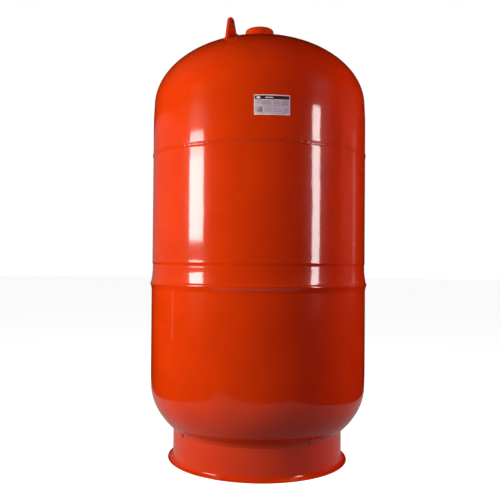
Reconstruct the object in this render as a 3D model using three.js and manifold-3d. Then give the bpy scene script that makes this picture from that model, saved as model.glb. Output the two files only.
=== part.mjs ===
// Floor-standing heating expansion vessel with a fixed diaphragm.
// Millimetres, +Z up, origin on the vessel's axis at floor level, front towards -Y.
import * as THREE from "three";
import { mergeVertices } from "three/addons/utils/BufferGeometryUtils.js";
import Module from "manifold-3d";

const wasm = await Module();
wasm.setup();

// ---------------------------------------------------------------- driving dimensions

const fitGap = 0.3; // clearance between pieces that touch
const wall = 3; // plate thickness of the shells

// Shell, from the floor upwards
const vesselRadius = 375; // outside of the lower shell
const shellStep = 1.8; // the rolled upper shell is this much smaller in radius
const bottomClearance = 14; // floor to the lowest point of the lower head
const headDepth = 244; // depth of each elliptical head
const lowerLength = 348.4; // lower tangent to the belled edge
const upperLength = 444.4; // belled edge to the upper seam
const skirtLength = 177.2; // upper seam to the upper tangent
const lowerTaper = 1; // the drawn skirts close in by this much before the tangent
const lowerTaperLength = 42;
const upperTaper = 2.6;
const upperTaperLength = 48;

// Belly joint: belled upper shell over the swaged edge of the lower shell
const bellRise = 7; // how far the belled edge stands out from the upper shell
const bellLength = 48;
const bellFlare = 4; // power of the flare, higher keeps it closer to the edge
const swageLength = 14;
const lapLength = 34; // lower shell inside the upper shell, above the belled edge
const bellyWeldHeight = 20;
const bellyWeldRise = 4.6;
const bellyWeldSlope = [[0.3, 0.3], [0.7, 0.8]]; // share of the height, share of the rise

// Rolled groove that holds the diaphragm's clamp ring
const grooveWidth = 15;
const grooveDepth = 2;
const clampRingHeight = 15.8;
const clampRingWidth = 10;

// Upper seam
const seamGap = 0.8;
const seamWeldWidth = 10;
const seamWeldRise = 1.6;
const seamWeldShoulder = 0.75; // share of the rise, half way to the bead's edge

// Diaphragm
const beadHeight = 14;
const beadWidth = 16;
const rubber = 3;
const diaphragmInset = 3; // shell to the diaphragm's outside
const diaphragmLift = 63; // lower head to the diaphragm's lowest point
const diaphragmDepth = 240;

// Foot ring
const footRadius = 294.8;
const footWall = 3;
const footFlange = 18; // how far the flared lip reaches out
const footFlare = 12; // inside radius of the flare
const footWeldLeg = 5;
const ventRadius = 5;
const ventDrop = 3; // vent centre below the top edge of the ring
const ventAzimuth = 34; // first vent, degrees from the front towards +X
const ventCount = 4;

// Lifting lugs
const lugRadius = 212; // vessel axis to the middle of the lug
const lugAzimuth = -26.6;
const lugCount = 2;
const lugWidth = 66;
const lugHeight = 65; // above the head, at the middle of the lug
const lugTopRadius = 17.5;
const lugHoleRadius = 9.9;
const lugHoleDrop = 22; // hole centre below the top
const lugThickness = 12;
const lugWeldLeg = 5;

// Valve cover and neck ring
const coverRadius = 50.6;
const coverRise = 41; // crown to the top of the cover
const coverWall = 2.5;
const coverShoulder = 10;
const coverPlay = 0.39; // cover to the neck ring, in radius
const neckHeight = 18;
const neckWall = 3;
const neckWeldLeg = 5;

// Gas valve
const valveSocketRadius = 15;
const valveSocketBore = 9;
const valveSocketDepth = 8; // below and above the crown
const valveSocketWeldLeg = 4.5;
const valveSealHeight = 1.4;
const valveSealWidth = 2.2;
const hexAcrossFlats = 19;
const hexHeight = 4;
const stemRadius = 3.85;
const stemHeight = 8;
const stemBore = 2.6;
const coreRadius = 2.3;
const coreLength = 17;
const coreWall = 1;
const corePinRadius = 0.7;
const corePinRecess = 1; // pin tip below the stem's end
const coreRecess = 3; // barrel below the stem's end
const springWire = 0.22;
const springTurns = 5;
const dustCapWall = 1.35;
const dustCapTop = 1.8;
const dustSealHeight = 0.6;

// Water connection
const portAboveRing = 60; // socket axis above the foot ring's top edge
const portProjection = 24; // socket end face beyond the head
const portDepth = 20; // socket inside the head
const portRadius = 20.5;
const portBore = 15.15;
const portWeldLeg = 6;
const guardRadius = 18;
const guardThickness = 2;
const guardHoleRadius = 2.5;
const guardHoleCircle = 8.5;
const guardHoleCount = 6;
const plugRecess = 0.8; // plug below the socket's end face
const plugDepth = 14;
const plugRim = 3; // wall round the plug's cup
const plugCupDepth = 8;
const plugBarWidth = 3; // bar across the cup to pull the plug by
const plugSealSection = 1.6;
const plugSealInset = 3; // seal above the plug's inner end

// Data label
const labelWidth = 110;
const labelHeight = 61;
const labelThickness = 0.4;
const labelAboveSeam = 108.5;
const labelAzimuth = 6.1;

// Facets
const shellSegments = 48;
const headSteps = 7;
const coverSegments = 32;
const smallSegments = 24;
const tinySegments = 16;
const labelSegments = 192;
const bellShares = [0, 0.12, 0.3, 0.6, 1]; // where the bell's profile has points

// ---------------------------------------------------------------- derived levels and radii

const upperRadius = vesselRadius - shellStep;
const upperInside = upperRadius - wall;
const lowerInside = vesselRadius - wall;
const swagedRadius = upperInside - fitGap;
const lowerTangent = bottomClearance + headDepth;
const bellyLevel = lowerTangent + lowerLength;
const seamLevel = bellyLevel + upperLength;
const upperTangent = seamLevel + skirtLength;
const crown = upperTangent + headDepth;
const lowerShellTop = bellyLevel + lapLength;
const beadBottom = lowerShellTop + fitGap;
const beadTop = beadBottom + beadHeight;
const clampRingBottom = beadTop + fitGap;
const clampRingTop = clampRingBottom + clampRingHeight;
const grooveLevel = clampRingTop + fitGap + grooveWidth / 2;
const lowerHeadRadius = vesselRadius - lowerTaper;
const upperHeadRadius = upperRadius - upperTaper;

// Points of an elliptical quarter head at an offset from its outside, from the radius inner to the
// tangent, as [radius, height above the tangent].
function headPoints(radius, offset, inner) {
  const first = Math.asin(inner / (radius + offset));
  return Array.from({ length: headSteps + 1 }, (_, i) => {
    const angle = first + ((Math.PI / 2 - first) * i) / headSteps;
    return [(radius + offset) * Math.sin(angle), (headDepth + offset) * Math.cos(angle)];
  });
}

function upperHeadPoints(offset, inner) {
  return headPoints(upperHeadRadius, offset, inner).map(([r, height]) => [r, upperTangent + height]);
}

function lowerHeadPoints(offset, inner) {
  return headPoints(lowerHeadRadius, offset, inner).map(([r, height]) => [r, lowerTangent - height]);
}

// Level at radius r on a profile of [radius, level] points with growing radius.
function levelOn(points, r) {
  const next = Math.max(1, points.findIndex(([radius]) => radius >= r));
  const [r0, z0] = points[next - 1];
  const [r1, z1] = points[next];
  return z0 + ((z1 - z0) * (r - r0)) / (r1 - r0);
}

const valveOpening = valveSocketRadius + fitGap;

// Level of the upper head's outside at radius r.
function upperHeadLevel(r) {
  return levelOn(upperHeadPoints(0, valveOpening), r);
}

// Level of the lower head's outside at radius r.
function lowerHeadLevel(r) {
  return levelOn(lowerHeadPoints(0, 0), r);
}

// Radius of the lower head's outside at a level.
function lowerHeadRadiusAt(level) {
  return lowerHeadRadius * Math.sqrt(1 - ((lowerTangent - level) / headDepth) ** 2);
}

const footTop = lowerHeadLevel(footRadius) - fitGap;
const portLevel = footTop + portAboveRing;
const portHead = lowerHeadRadiusAt(portLevel);
const portFace = portHead + portProjection;
const portInner = portHead - portDepth;

const lugTop = upperHeadLevel(lugRadius) + lugHeight;
const plugTop = portFace - plugRecess;
const plugBottom = plugTop - plugDepth;
const plugSealRadius = portBore - fitGap;
const plugSealInside = plugSealRadius - plugSealSection;
const plugSealBottom = plugBottom + plugSealInset;
const plugSealTop = plugSealBottom + plugSealSection;

const coverTop = crown + coverRise;
const coverInside = coverRadius - coverWall;
const neckRadius = coverInside - coverPlay;
const neckInside = neckRadius - neckWall;
const neckTop = crown + neckHeight;
const valveSocketTop = crown + valveSocketDepth;
const valveSocketBottom = crown - valveSocketDepth;
const shankRadius = valveSocketBore - fitGap;
const hexBottom = valveSocketTop + valveSealHeight + 2 * fitGap;
const hexTop = hexBottom + hexHeight;
const stemTop = hexTop + stemHeight;
const coreTop = stemTop - coreRecess;
const coreBottom = coreTop - coreLength;
const coreBore = corePinRadius + fitGap;
const coreChamber = coreRadius - fitGap;
const coreShelf = coreBottom + coreWall;
const pinCollarBottom = coreShelf + coreLength / 2;
const dustSealBottom = stemTop + fitGap;
const dustCapCeiling = dustSealBottom + dustSealHeight + fitGap;
const dustCapBottom = hexTop + fitGap;
const dustCapBore = stemRadius + fitGap;

// ---------------------------------------------------------------- materials

function paint(color, roughness, metalness = 0) {
  return new THREE.MeshStandardMaterial({ color, roughness, metalness });
}

const redPaint = paint("#c9321a", 0.28);
const rubberBlack = paint("#1d1d1f", 0.8);
const brass = paint("#b8913f", 0.35, 1);
const bareSteel = paint("#8d9094", 0.45, 1);
const springSteel = paint("#a9acb0", 0.3, 1);
const blackPlastic = paint("#202124", 0.55);
const yellowPlastic = paint("#d8a520", 0.5);
const labelFilm = paint("#cfc9d4", 0.4);

// ---------------------------------------------------------------- geometry helpers

// A closed mesh as a solid for booleans.
function solid(geometry) {
  const bare = geometry.clone();
  bare.deleteAttribute("normal");
  bare.deleteAttribute("uv");
  const merged = mergeVertices(bare, 1e-4);
  return new wasm.Manifold(
    new wasm.Mesh({
      numProp: 3,
      vertProperties: merged.attributes.position.array,
      triVerts: new Uint32Array(merged.index.array),
    }),
  );
}

// A solid's surface as a geometry.
function surface(body) {
  const mesh = body.getMesh();
  const geometry = new THREE.BufferGeometry();
  geometry.setAttribute("position", new THREE.BufferAttribute(mesh.vertProperties, 3));
  geometry.setIndex(new THREE.BufferAttribute(mesh.triVerts, 1));
  return geometry;
}

// Revolves a profile of [radius, level] pairs, listed anticlockwise, around Z.
function revolve(profile, segments) {
  const points = [...profile, profile[0]].map(([r, z]) => new THREE.Vector2(r, z));
  return new THREE.LatheGeometry(points, segments).rotateX(Math.PI / 2);
}

// Direction in plan of an azimuth in degrees, measured from the front (-Y) towards +X.
function heading(azimuth) {
  return THREE.MathUtils.degToRad(azimuth - 90);
}

// A wedge around the axis, for cutting an arc out of a ring.
function wedge(azimuth, halfAngle, reach, bottom, top) {
  const steps = 4;
  const shape = new THREE.Shape();
  shape.moveTo(0, 0);
  for (let i = 0; i <= steps; i += 1) {
    const angle = heading(azimuth - halfAngle + (2 * halfAngle * i) / steps);
    shape.lineTo(reach * Math.cos(angle), reach * Math.sin(angle));
  }
  shape.closePath();
  const depth = top - bottom;
  return new THREE.ExtrudeGeometry(shape, { depth, bevelEnabled: false }).translate(0, 0, bottom);
}

// A cylinder along Z between two levels.
function rod(radius, bottom, top, segments) {
  const height = top - bottom;
  return new THREE.CylinderGeometry(radius, radius, height, segments)
    .rotateX(Math.PI / 2)
    .translate(0, 0, bottom + height / 2);
}

const part = new THREE.Group();

function add(name, geometry, material, parent = part) {
  const mesh = new THREE.Mesh(geometry, material);
  mesh.name = name;
  parent.add(mesh);
}

// ---------------------------------------------------------------- shells

function upperHead() {
  const bottom = seamLevel + seamGap / 2;
  const taperLevel = upperTangent - upperTaperLength;
  const outside = upperHeadPoints(0, valveOpening).reverse();
  const inside = upperHeadPoints(-wall, valveOpening);
  return revolve(
    [
      [upperInside, bottom],
      [upperRadius, bottom],
      [upperRadius, taperLevel],
      ...outside,
      ...inside,
      [upperInside, taperLevel],
    ],
    shellSegments,
  );
}

function upperShell() {
  const top = seamLevel - seamGap / 2;
  const half = grooveWidth / 2;
  const bell = bellShares.map((share) => [
    bellRise * (1 - share) ** bellFlare,
    bellyLevel + share * bellLength,
  ]);
  const groove = [
    [0, grooveLevel - half],
    [-grooveDepth, grooveLevel - half / 3],
    [-grooveDepth, grooveLevel + half / 3],
    [0, grooveLevel + half],
  ];
  const line = [...bell, ...groove, [0, top]];
  return revolve(
    [
      ...line.map(([rise, level]) => [upperRadius + rise, level]),
      ...line.map(([rise, level]) => [upperInside + rise, level]).reverse(),
    ],
    shellSegments,
  );
}

function lowerShell() {
  const taperLevel = lowerTangent + lowerTaperLength;
  const swageEnd = bellyLevel + swageLength;
  const outside = lowerHeadPoints(0, 0);
  const inside = lowerHeadPoints(-wall, 0).reverse();
  const shell = revolve(
    [
      ...outside,
      [vesselRadius, taperLevel],
      [vesselRadius, bellyLevel],
      [swagedRadius, swageEnd],
      [swagedRadius, lowerShellTop],
      [swagedRadius - wall, lowerShellTop],
      [swagedRadius - wall, swageEnd],
      [lowerInside, bellyLevel],
      [lowerInside, taperLevel],
      ...inside,
    ],
    shellSegments,
  );
  const hole = rod(portRadius + fitGap, 0, vesselRadius, smallSegments)
    .rotateX(-Math.PI / 2)
    .translate(0, 0, portLevel);
  return surface(solid(shell).subtract(solid(hole)));
}

function seamWeld() {
  const half = seamWeldWidth / 2;
  const foot = upperRadius + fitGap;
  const shoulder = foot + seamWeldRise * seamWeldShoulder;
  return revolve(
    [
      [foot, seamLevel - half],
      [shoulder, seamLevel - half / 2],
      [foot + seamWeldRise, seamLevel],
      [shoulder, seamLevel + half / 2],
      [foot, seamLevel + half],
    ],
    shellSegments,
  );
}

function bellyWeld() {
  const foot = vesselRadius + fitGap;
  const top = bellyLevel - fitGap;
  const bottom = top - bellyWeldHeight;
  return revolve(
    [
      [foot, bottom],
      ...bellyWeldSlope.map(([height, rise]) => [
        foot + bellyWeldRise * rise,
        bottom + bellyWeldHeight * height,
      ]),
      [foot + bellyWeldRise, top],
      [foot, top],
    ],
    shellSegments,
  );
}

add("upper_head", upperHead(), redPaint);
add("upper_shell", upperShell(), redPaint);
add("lower_shell", lowerShell(), redPaint);
add("upper_seam_weld", seamWeld(), redPaint);
add("belly_seam_weld", bellyWeld(), redPaint);

// ---------------------------------------------------------------- diaphragm

function diaphragm() {
  const radius = swagedRadius - wall - diaphragmInset;
  const lowest = bottomClearance + wall + diaphragmLift;
  const tangent = lowest + diaphragmDepth;
  const bag = (offset) =>
    Array.from({ length: headSteps }, (_, i) => {
      const angle = (Math.PI / 2) * (i / (headSteps - 1));
      return [(radius - offset) * Math.sin(angle), tangent - (diaphragmDepth - offset) * Math.cos(angle)];
    });
  return revolve(
    [
      ...bag(0),
      [radius, lowerShellTop],
      [radius, beadBottom],
      [swagedRadius, beadBottom],
      [swagedRadius, beadTop],
      [swagedRadius - beadWidth, beadTop],
      [radius - rubber, lowerShellTop],
      ...bag(rubber).reverse(),
    ],
    shellSegments,
  );
}

function clampRing() {
  return revolve(
    [
      [swagedRadius - clampRingWidth, clampRingBottom],
      [swagedRadius, clampRingBottom],
      [swagedRadius, clampRingTop],
      [swagedRadius - clampRingWidth, clampRingTop],
    ],
    shellSegments,
  );
}

add("diaphragm", diaphragm(), rubberBlack);
add("diaphragm_clamp_ring", clampRing(), bareSteel);

// ---------------------------------------------------------------- foot ring

const ventAzimuths = Array.from({ length: ventCount }, (_, i) => ventAzimuth + (360 * i) / ventCount);

function footRing() {
  const steps = 3;
  const flareCentre = [footRadius + footFlare, footWall + footFlare];
  const flare = (radius) =>
    Array.from({ length: steps + 1 }, (_, i) => {
      const angle = (Math.PI / 2) * (i / steps);
      return [flareCentre[0] - radius * Math.sin(angle), flareCentre[1] - radius * Math.cos(angle)];
    });
  const inside = footRadius - footWall;
  const ring = revolve(
    [
      [footRadius + footFlange, 0],
      [footRadius + footFlange, footWall],
      ...flare(footFlare),
      [footRadius, footTop],
      [inside, lowerHeadLevel(inside) - fitGap],
      ...flare(footFlare + footWall).reverse(),
    ],
    shellSegments,
  );
  return ventAzimuths.reduce((body, azimuth) => {
    const vent = rod(ventRadius, footRadius / 2, footRadius * 2, tinySegments)
      .rotateY(Math.PI / 2)
      .rotateZ(heading(azimuth))
      .translate(0, 0, footTop - ventDrop);
    return body.subtract(solid(vent));
  }, solid(ring));
}

// Fillet between the outside of the foot ring and the lower head.
function footWeld(azimuth) {
  const foot = footRadius + fitGap;
  const outer = foot + footWeldLeg;
  const bead = revolve(
    [
      [foot, footTop - footWeldLeg],
      [outer, lowerHeadLevel(outer) - fitGap],
      [foot, lowerHeadLevel(foot) - fitGap],
    ],
    shellSegments,
  );
  const margin = THREE.MathUtils.radToDeg(ventRadius / footRadius);
  const arc = wedge(azimuth, 180 / ventCount - margin, 2 * footRadius, 0, lowerTangent);
  return surface(solid(bead).intersect(solid(arc)));
}

add("foot_ring", surface(footRing()), redPaint);
ventAzimuths.forEach((azimuth, i) => {
  add("foot_weld_" + (i + 1), footWeld(azimuth + 180 / ventCount), redPaint);
});

// ---------------------------------------------------------------- lifting lugs

// Solid under the upper head's outside, grown by an offset.
function domeSolid(offset) {
  const outside = upperHeadPoints(offset, valveOpening).reverse();
  return solid(revolve([[valveOpening, upperTangent], ...outside], shellSegments));
}

// Plate outline in the plane of the axis, grown by an offset: x is the radius, y the level.
// It runs on below the head, where the plate is then cut to the head.
function lugOutline(grow) {
  const half = lugWidth / 2 + grow;
  const sideAngle = Math.PI / 9;
  const inner = lugRadius - half;
  const outer = lugRadius + half;
  const shape = new THREE.Shape();
  shape.moveTo(inner, upperHeadLevel(inner));
  shape.lineTo(inner, upperTangent);
  shape.lineTo(outer, upperTangent);
  shape.lineTo(outer, upperHeadLevel(outer));
  const radius = lugTopRadius + grow;
  shape.absarc(lugRadius, lugTop - lugTopRadius, radius, sideAngle, Math.PI - sideAngle, false);
  shape.closePath();
  return shape;
}

// Plate from an outline, standing radially and turned to its place.
function radialPlate(shape, thickness, turn) {
  return new THREE.ExtrudeGeometry(shape, { depth: thickness, bevelEnabled: false, curveSegments: 10 })
    .translate(0, 0, -thickness / 2)
    .rotateX(Math.PI / 2)
    .rotateZ(turn);
}

function lug(turn) {
  const shape = lugOutline(0);
  const hole = new THREE.Path();
  hole.absarc(lugRadius, lugTop - lugHoleDrop, lugHoleRadius, 0, 2 * Math.PI, true);
  shape.holes.push(hole);
  return surface(solid(radialPlate(shape, lugThickness, turn)).subtract(domeSolid(fitGap)));
}

// Fillet all round the foot of the lug, following the head.
function lugWeld(turn) {
  const length = lugWidth + 2 * lugWeldLeg;
  const footprint = new THREE.BoxGeometry(length, lugThickness + 2 * lugWeldLeg, headDepth)
    .translate(lugRadius, 0, upperTangent + headDepth / 2)
    .rotateZ(turn);
  const plate = radialPlate(lugOutline(fitGap), lugThickness + 2 * fitGap, turn);
  return surface(
    solid(footprint).intersect(domeSolid(lugWeldLeg)).subtract(domeSolid(fitGap)).subtract(solid(plate)),
  );
}

for (let i = 0; i < lugCount; i += 1) {
  const turn = heading(lugAzimuth + (360 * i) / lugCount);
  add("lifting_lug_" + (i + 1), lug(turn), redPaint);
  add("lug_weld_" + (i + 1), lugWeld(turn), redPaint);
}

// ---------------------------------------------------------------- neck and valve cover

function neckRing() {
  return revolve(
    [
      [neckInside, upperHeadLevel(neckInside) + fitGap],
      [neckRadius, upperHeadLevel(neckRadius) + fitGap],
      [neckRadius, neckTop],
      [neckInside, neckTop],
    ],
    coverSegments,
  );
}

function neckWeld() {
  const edge = neckInside - fitGap;
  const toe = edge - neckWeldLeg;
  return revolve(
    [
      [toe, upperHeadLevel(toe) + fitGap],
      [edge, upperHeadLevel(edge) + fitGap],
      [edge, upperHeadLevel(edge) + neckWeldLeg],
    ],
    coverSegments,
  );
}

function valveCover() {
  const bottom = upperHeadLevel(coverRadius) + 2 * fitGap;
  const steps = 4;
  const shoulder = (radius) =>
    Array.from({ length: steps + 1 }, (_, i) => {
      const angle = (Math.PI / 2) * (i / steps);
      return [
        coverRadius - coverShoulder + radius * Math.cos(angle),
        coverTop - coverShoulder + radius * Math.sin(angle),
      ];
    });
  return revolve(
    [
      [coverInside, bottom],
      [coverRadius, bottom],
      ...shoulder(coverShoulder),
      [0, coverTop],
      [0, coverTop - coverWall],
      ...shoulder(coverShoulder - coverWall).reverse(),
    ],
    coverSegments,
  );
}

add("valve_neck", neckRing(), redPaint);
add("valve_neck_weld", neckWeld(), redPaint);
add("valve_cover", valveCover(), redPaint);

// ---------------------------------------------------------------- gas valve

function valveSocket() {
  return revolve(
    [
      [valveSocketBore, valveSocketBottom],
      [valveSocketRadius, valveSocketBottom],
      [valveSocketRadius, valveSocketTop],
      [valveSocketBore, valveSocketTop],
    ],
    smallSegments,
  );
}

function valveSocketWeld() {
  const foot = valveSocketRadius + fitGap;
  const toe = foot + valveSocketWeldLeg;
  return revolve(
    [
      [foot, upperHeadLevel(foot) + fitGap],
      [toe, upperHeadLevel(toe) + fitGap],
      [foot, upperHeadLevel(foot) + valveSocketWeldLeg],
    ],
    smallSegments,
  );
}

function valveSeal() {
  const inner = shankRadius + fitGap;
  const bottom = valveSocketTop + fitGap;
  return revolve(
    [
      [inner, bottom],
      [inner + valveSealWidth, bottom],
      [inner + valveSealWidth, bottom + valveSealHeight],
      [inner, bottom + valveSealHeight],
    ],
    smallSegments,
  );
}

function valveBody() {
  const turned = revolve(
    [
      [stemBore, valveSocketBottom],
      [shankRadius, valveSocketBottom],
      [shankRadius, hexTop],
      [stemRadius, hexTop],
      [stemRadius, stemTop],
      [stemBore, stemTop],
    ],
    smallSegments,
  );
  const hexagon = rod(hexAcrossFlats / Math.sqrt(3), hexBottom, hexTop, 6);
  const bore = rod(stemBore + fitGap, valveSocketBottom, stemTop, smallSegments);
  return surface(solid(hexagon).subtract(solid(bore)).add(solid(turned)));
}

function coreBarrel() {
  const ceiling = coreTop - coreWall;
  return revolve(
    [
      [coreBore, coreBottom],
      [coreRadius, coreBottom],
      [coreRadius, coreTop],
      [coreBore, coreTop],
      [coreBore, ceiling],
      [coreChamber, ceiling],
      [coreChamber, coreShelf],
      [coreBore, coreShelf],
    ],
    tinySegments,
  );
}

function corePin() {
  const collar = coreChamber - fitGap;
  const tip = stemTop - corePinRecess;
  const discTop = coreBottom - fitGap;
  const discBottom = discTop - coreWall;
  return revolve(
    [
      [0, discBottom],
      [coreRadius - fitGap, discBottom],
      [coreRadius - fitGap, discTop],
      [corePinRadius, discTop],
      [corePinRadius, pinCollarBottom],
      [collar, pinCollarBottom],
      [collar, pinCollarBottom + coreWall],
      [corePinRadius, pinCollarBottom + coreWall],
      [corePinRadius, tip],
      [0, tip],
    ],
    tinySegments,
  );
}

class Coil extends THREE.Curve {
  constructor(radius, bottom, top, turns) {
    super();
    Object.assign(this, { radius, bottom, top, turns });
  }
  getPoint(t, target = new THREE.Vector3()) {
    const angle = 2 * Math.PI * this.turns * t;
    const level = this.bottom + (this.top - this.bottom) * t;
    return target.set(this.radius * Math.cos(angle), this.radius * Math.sin(angle), level);
  }
}

function coreSpring() {
  const radius = (corePinRadius + coreChamber) / 2;
  const bottom = coreShelf + fitGap + springWire;
  const top = pinCollarBottom - fitGap - springWire;
  const section = new THREE.Shape();
  section.absarc(0, 0, springWire, 0, 2 * Math.PI, false);
  return new THREE.ExtrudeGeometry(section, {
    steps: 9 * springTurns,
    curveSegments: 3,
    bevelEnabled: false,
    extrudePath: new Coil(radius, bottom, top, springTurns),
  });
}

function dustCap() {
  const outer = dustCapBore + dustCapWall;
  return revolve(
    [
      [dustCapBore, dustCapBottom],
      [outer, dustCapBottom],
      [outer, dustCapCeiling + dustCapTop],
      [0, dustCapCeiling + dustCapTop],
      [0, dustCapCeiling],
      [dustCapBore, dustCapCeiling],
    ],
    smallSegments,
  );
}

function dustCapSeal() {
  return rod(stemRadius - fitGap / 3, dustSealBottom, dustSealBottom + dustSealHeight, smallSegments);
}

add("valve_socket", valveSocket(), redPaint);
add("valve_socket_weld", valveSocketWeld(), redPaint);
add("valve_seal", valveSeal(), rubberBlack);
add("valve_body", valveBody(), brass);
add("valve_core_barrel", coreBarrel(), brass);
add("valve_core_pin", corePin(), brass);
add("valve_core_spring", coreSpring(), springSteel);
add("dust_cap", dustCap(), blackPlastic);
add("dust_cap_seal", dustCapSeal(), rubberBlack);

// ---------------------------------------------------------------- water connection, along +Y

const portGroup = new THREE.Group();
portGroup.position.set(0, 0, portLevel);
portGroup.rotation.set(-Math.PI / 2, 0, 0);
part.add(portGroup);

function waterSocket() {
  const chamfer = 1.5;
  return revolve(
    [
      [portBore, portInner],
      [portRadius, portInner],
      [portRadius, portFace - chamfer / 2],
      [portRadius - chamfer / 2, portFace],
      [portBore, portFace],
    ],
    coverSegments,
  );
}

// Solid inside the lower head's outside, grown by an offset.
function bowlSolid(offset) {
  const outside = lowerHeadPoints(offset, 0);
  return solid(revolve([...outside, [0, lowerTangent]], shellSegments));
}

// Fillet all round the socket, following the lower head.
function socketWeld() {
  const collar = (radius, segments) =>
    solid(rod(radius, portInner, portFace, segments).rotateX(-Math.PI / 2).translate(0, 0, portLevel));
  return surface(
    collar(portRadius + fitGap + portWeldLeg, smallSegments)
      .subtract(collar(portRadius + fitGap, smallSegments))
      .intersect(bowlSolid(portWeldLeg))
      .subtract(bowlSolid(fitGap)),
  );
}

// Perforated disc in the inner end of the socket.
function portGuard() {
  const bottom = portInner - fitGap - guardThickness;
  const top = bottom + guardThickness;
  const disc = solid(rod(guardRadius, bottom, top, smallSegments));
  const hole = (x, y) =>
    solid(rod(guardHoleRadius, bottom - wall, top + wall, tinySegments / 2).translate(x, y, 0));
  let body = disc.subtract(hole(0, 0));
  for (let i = 0; i < guardHoleCount; i += 1) {
    const angle = (2 * Math.PI * i) / guardHoleCount;
    body = body.subtract(hole(guardHoleCircle * Math.cos(angle), guardHoleCircle * Math.sin(angle)));
  }
  return surface(body);
}

function plugSeal() {
  return revolve(
    [
      [plugSealInside, plugSealBottom],
      [plugSealRadius, plugSealBottom],
      [plugSealRadius, plugSealTop],
      [plugSealInside, plugSealTop],
    ],
    smallSegments,
  );
}

// Push-in plug: a cup open to the rear, with a groove for its seal and a bar across the cup.
function transitPlug() {
  const rim = portBore - 2 * fitGap;
  const cup = rim - plugRim;
  const cupFloor = plugTop - plugCupDepth;
  const turned = revolve(
    [
      [0, plugBottom],
      [rim, plugBottom],
      [rim, plugSealBottom - fitGap],
      [plugSealInside - fitGap, plugSealBottom - fitGap],
      [plugSealInside - fitGap, plugSealTop + fitGap],
      [rim, plugSealTop + fitGap],
      [rim, plugTop],
      [cup, plugTop],
      [cup, cupFloor],
      [0, cupFloor],
    ],
    smallSegments,
  );
  const root = plugRim / 2;
  const height = plugCupDepth - root;
  const bar = new THREE.BoxGeometry(2 * (cup + root), plugBarWidth, height + root).translate(
    0,
    0,
    cupFloor + (height - root) / 2,
  );
  return surface(solid(turned).add(solid(bar)));
}

add("water_socket", waterSocket(), redPaint, portGroup);
add("water_socket_weld", socketWeld(), redPaint);
add("port_guard", portGuard(), bareSteel, portGroup);
add("transit_plug", transitPlug(), yellowPlastic, portGroup);
add("transit_plug_seal", plugSeal(), rubberBlack, portGroup);

// ---------------------------------------------------------------- data label

function dataLabel() {
  const inner = upperRadius + fitGap;
  const outer = inner + labelThickness;
  const bottom = seamLevel + labelAboveSeam - labelHeight / 2;
  const top = bottom + labelHeight;
  const band = revolve(
    [
      [inner, bottom],
      [outer, bottom],
      [outer, top],
      [inner, top],
    ],
    labelSegments,
  );
  const halfAngle = THREE.MathUtils.radToDeg(labelWidth / 2 / outer);
  const arc = wedge(labelAzimuth, halfAngle, 2 * vesselRadius, bottom - wall, top + wall);
  return surface(solid(band).intersect(solid(arc)));
}

add("data_label", dataLabel(), labelFilm);

export default part;
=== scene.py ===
"""Looks of the floor-standing expansion vessel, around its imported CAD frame. Metres, +Z up, front -Y."""

import math
import random

import bmesh
import bpy
from mathutils import Matrix, Vector, noise


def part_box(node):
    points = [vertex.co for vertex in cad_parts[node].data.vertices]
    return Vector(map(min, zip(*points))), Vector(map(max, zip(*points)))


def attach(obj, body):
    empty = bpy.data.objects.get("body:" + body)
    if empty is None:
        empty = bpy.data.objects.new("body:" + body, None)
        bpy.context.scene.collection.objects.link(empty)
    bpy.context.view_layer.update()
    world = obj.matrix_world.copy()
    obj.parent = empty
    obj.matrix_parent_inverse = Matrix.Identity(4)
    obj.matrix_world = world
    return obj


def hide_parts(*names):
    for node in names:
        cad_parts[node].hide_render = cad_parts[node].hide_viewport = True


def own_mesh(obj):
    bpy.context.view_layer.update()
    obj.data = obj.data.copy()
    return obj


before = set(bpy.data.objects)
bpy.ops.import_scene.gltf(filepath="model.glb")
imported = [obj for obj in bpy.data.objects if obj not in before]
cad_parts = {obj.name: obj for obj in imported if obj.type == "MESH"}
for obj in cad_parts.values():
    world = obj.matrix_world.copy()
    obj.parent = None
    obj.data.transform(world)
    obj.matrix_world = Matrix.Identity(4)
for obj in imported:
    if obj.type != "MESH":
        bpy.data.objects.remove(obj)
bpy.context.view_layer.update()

MM = 0.001
TAU = 2 * math.pi
VESSEL = "vessel"

# ------------------------ sizes taken from the frame

upper_shell_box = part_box("upper_shell")
lower_shell_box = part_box("lower_shell")
upper_head_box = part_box("upper_head")
belly_weld_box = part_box("belly_seam_weld")
foot_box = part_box("foot_ring")
socket_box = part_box("water_socket")
cover_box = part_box("valve_cover")
neck_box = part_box("valve_neck")

VESSEL_RADIUS = lower_shell_box[1].x
UPPER_RADIUS = upper_head_box[1].x
BELLY_LEVEL = upper_shell_box[0].z
SEAM_LEVEL = (upper_shell_box[1].z + upper_head_box[0].z) / 2
LOWER_SHELL_TOP = lower_shell_box[1].z
BOTTOM = lower_shell_box[0].z
FOOT_LIP_RADIUS = foot_box[1].x

# ------------------------ sizes of the shape, as in the CAD

WALL = 3 * MM
GAP = 0.3 * MM
HEAD_DEPTH = 244 * MM
LOWER_TAPER = 1 * MM
LOWER_TAPER_LENGTH = 42 * MM
UPPER_TAPER = 2.6 * MM
UPPER_TAPER_LENGTH = 48 * MM
SKIRT_LENGTH = 177.2 * MM
BELL_RISE = upper_shell_box[1].x - UPPER_RADIUS
BELL_TIP = ((7.0, 0.0), (6.95, 1.6), (6.4, 3.6), (4.9, 6.0))
FLARE_START = 7 * MM
FLARE_END = 56 * MM
FLARE_RISE = 4.2 * MM
NECK = 1.2 * MM
SWAGE_LENGTH = 14 * MM
GROOVE_LINE = (
    (-1.2, 58), (-1.6, 62), (-1.6, 66), (-1.0, 69), (0.1, 72), (0.38, 73.6), (0.3, 75.5), (0.0, 79),
)
GROOVE_INSIDE = ((0.0, 64.7), (-2.0, 69.7), (-2.0, 74.7), (0.0, 79.7))
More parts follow.
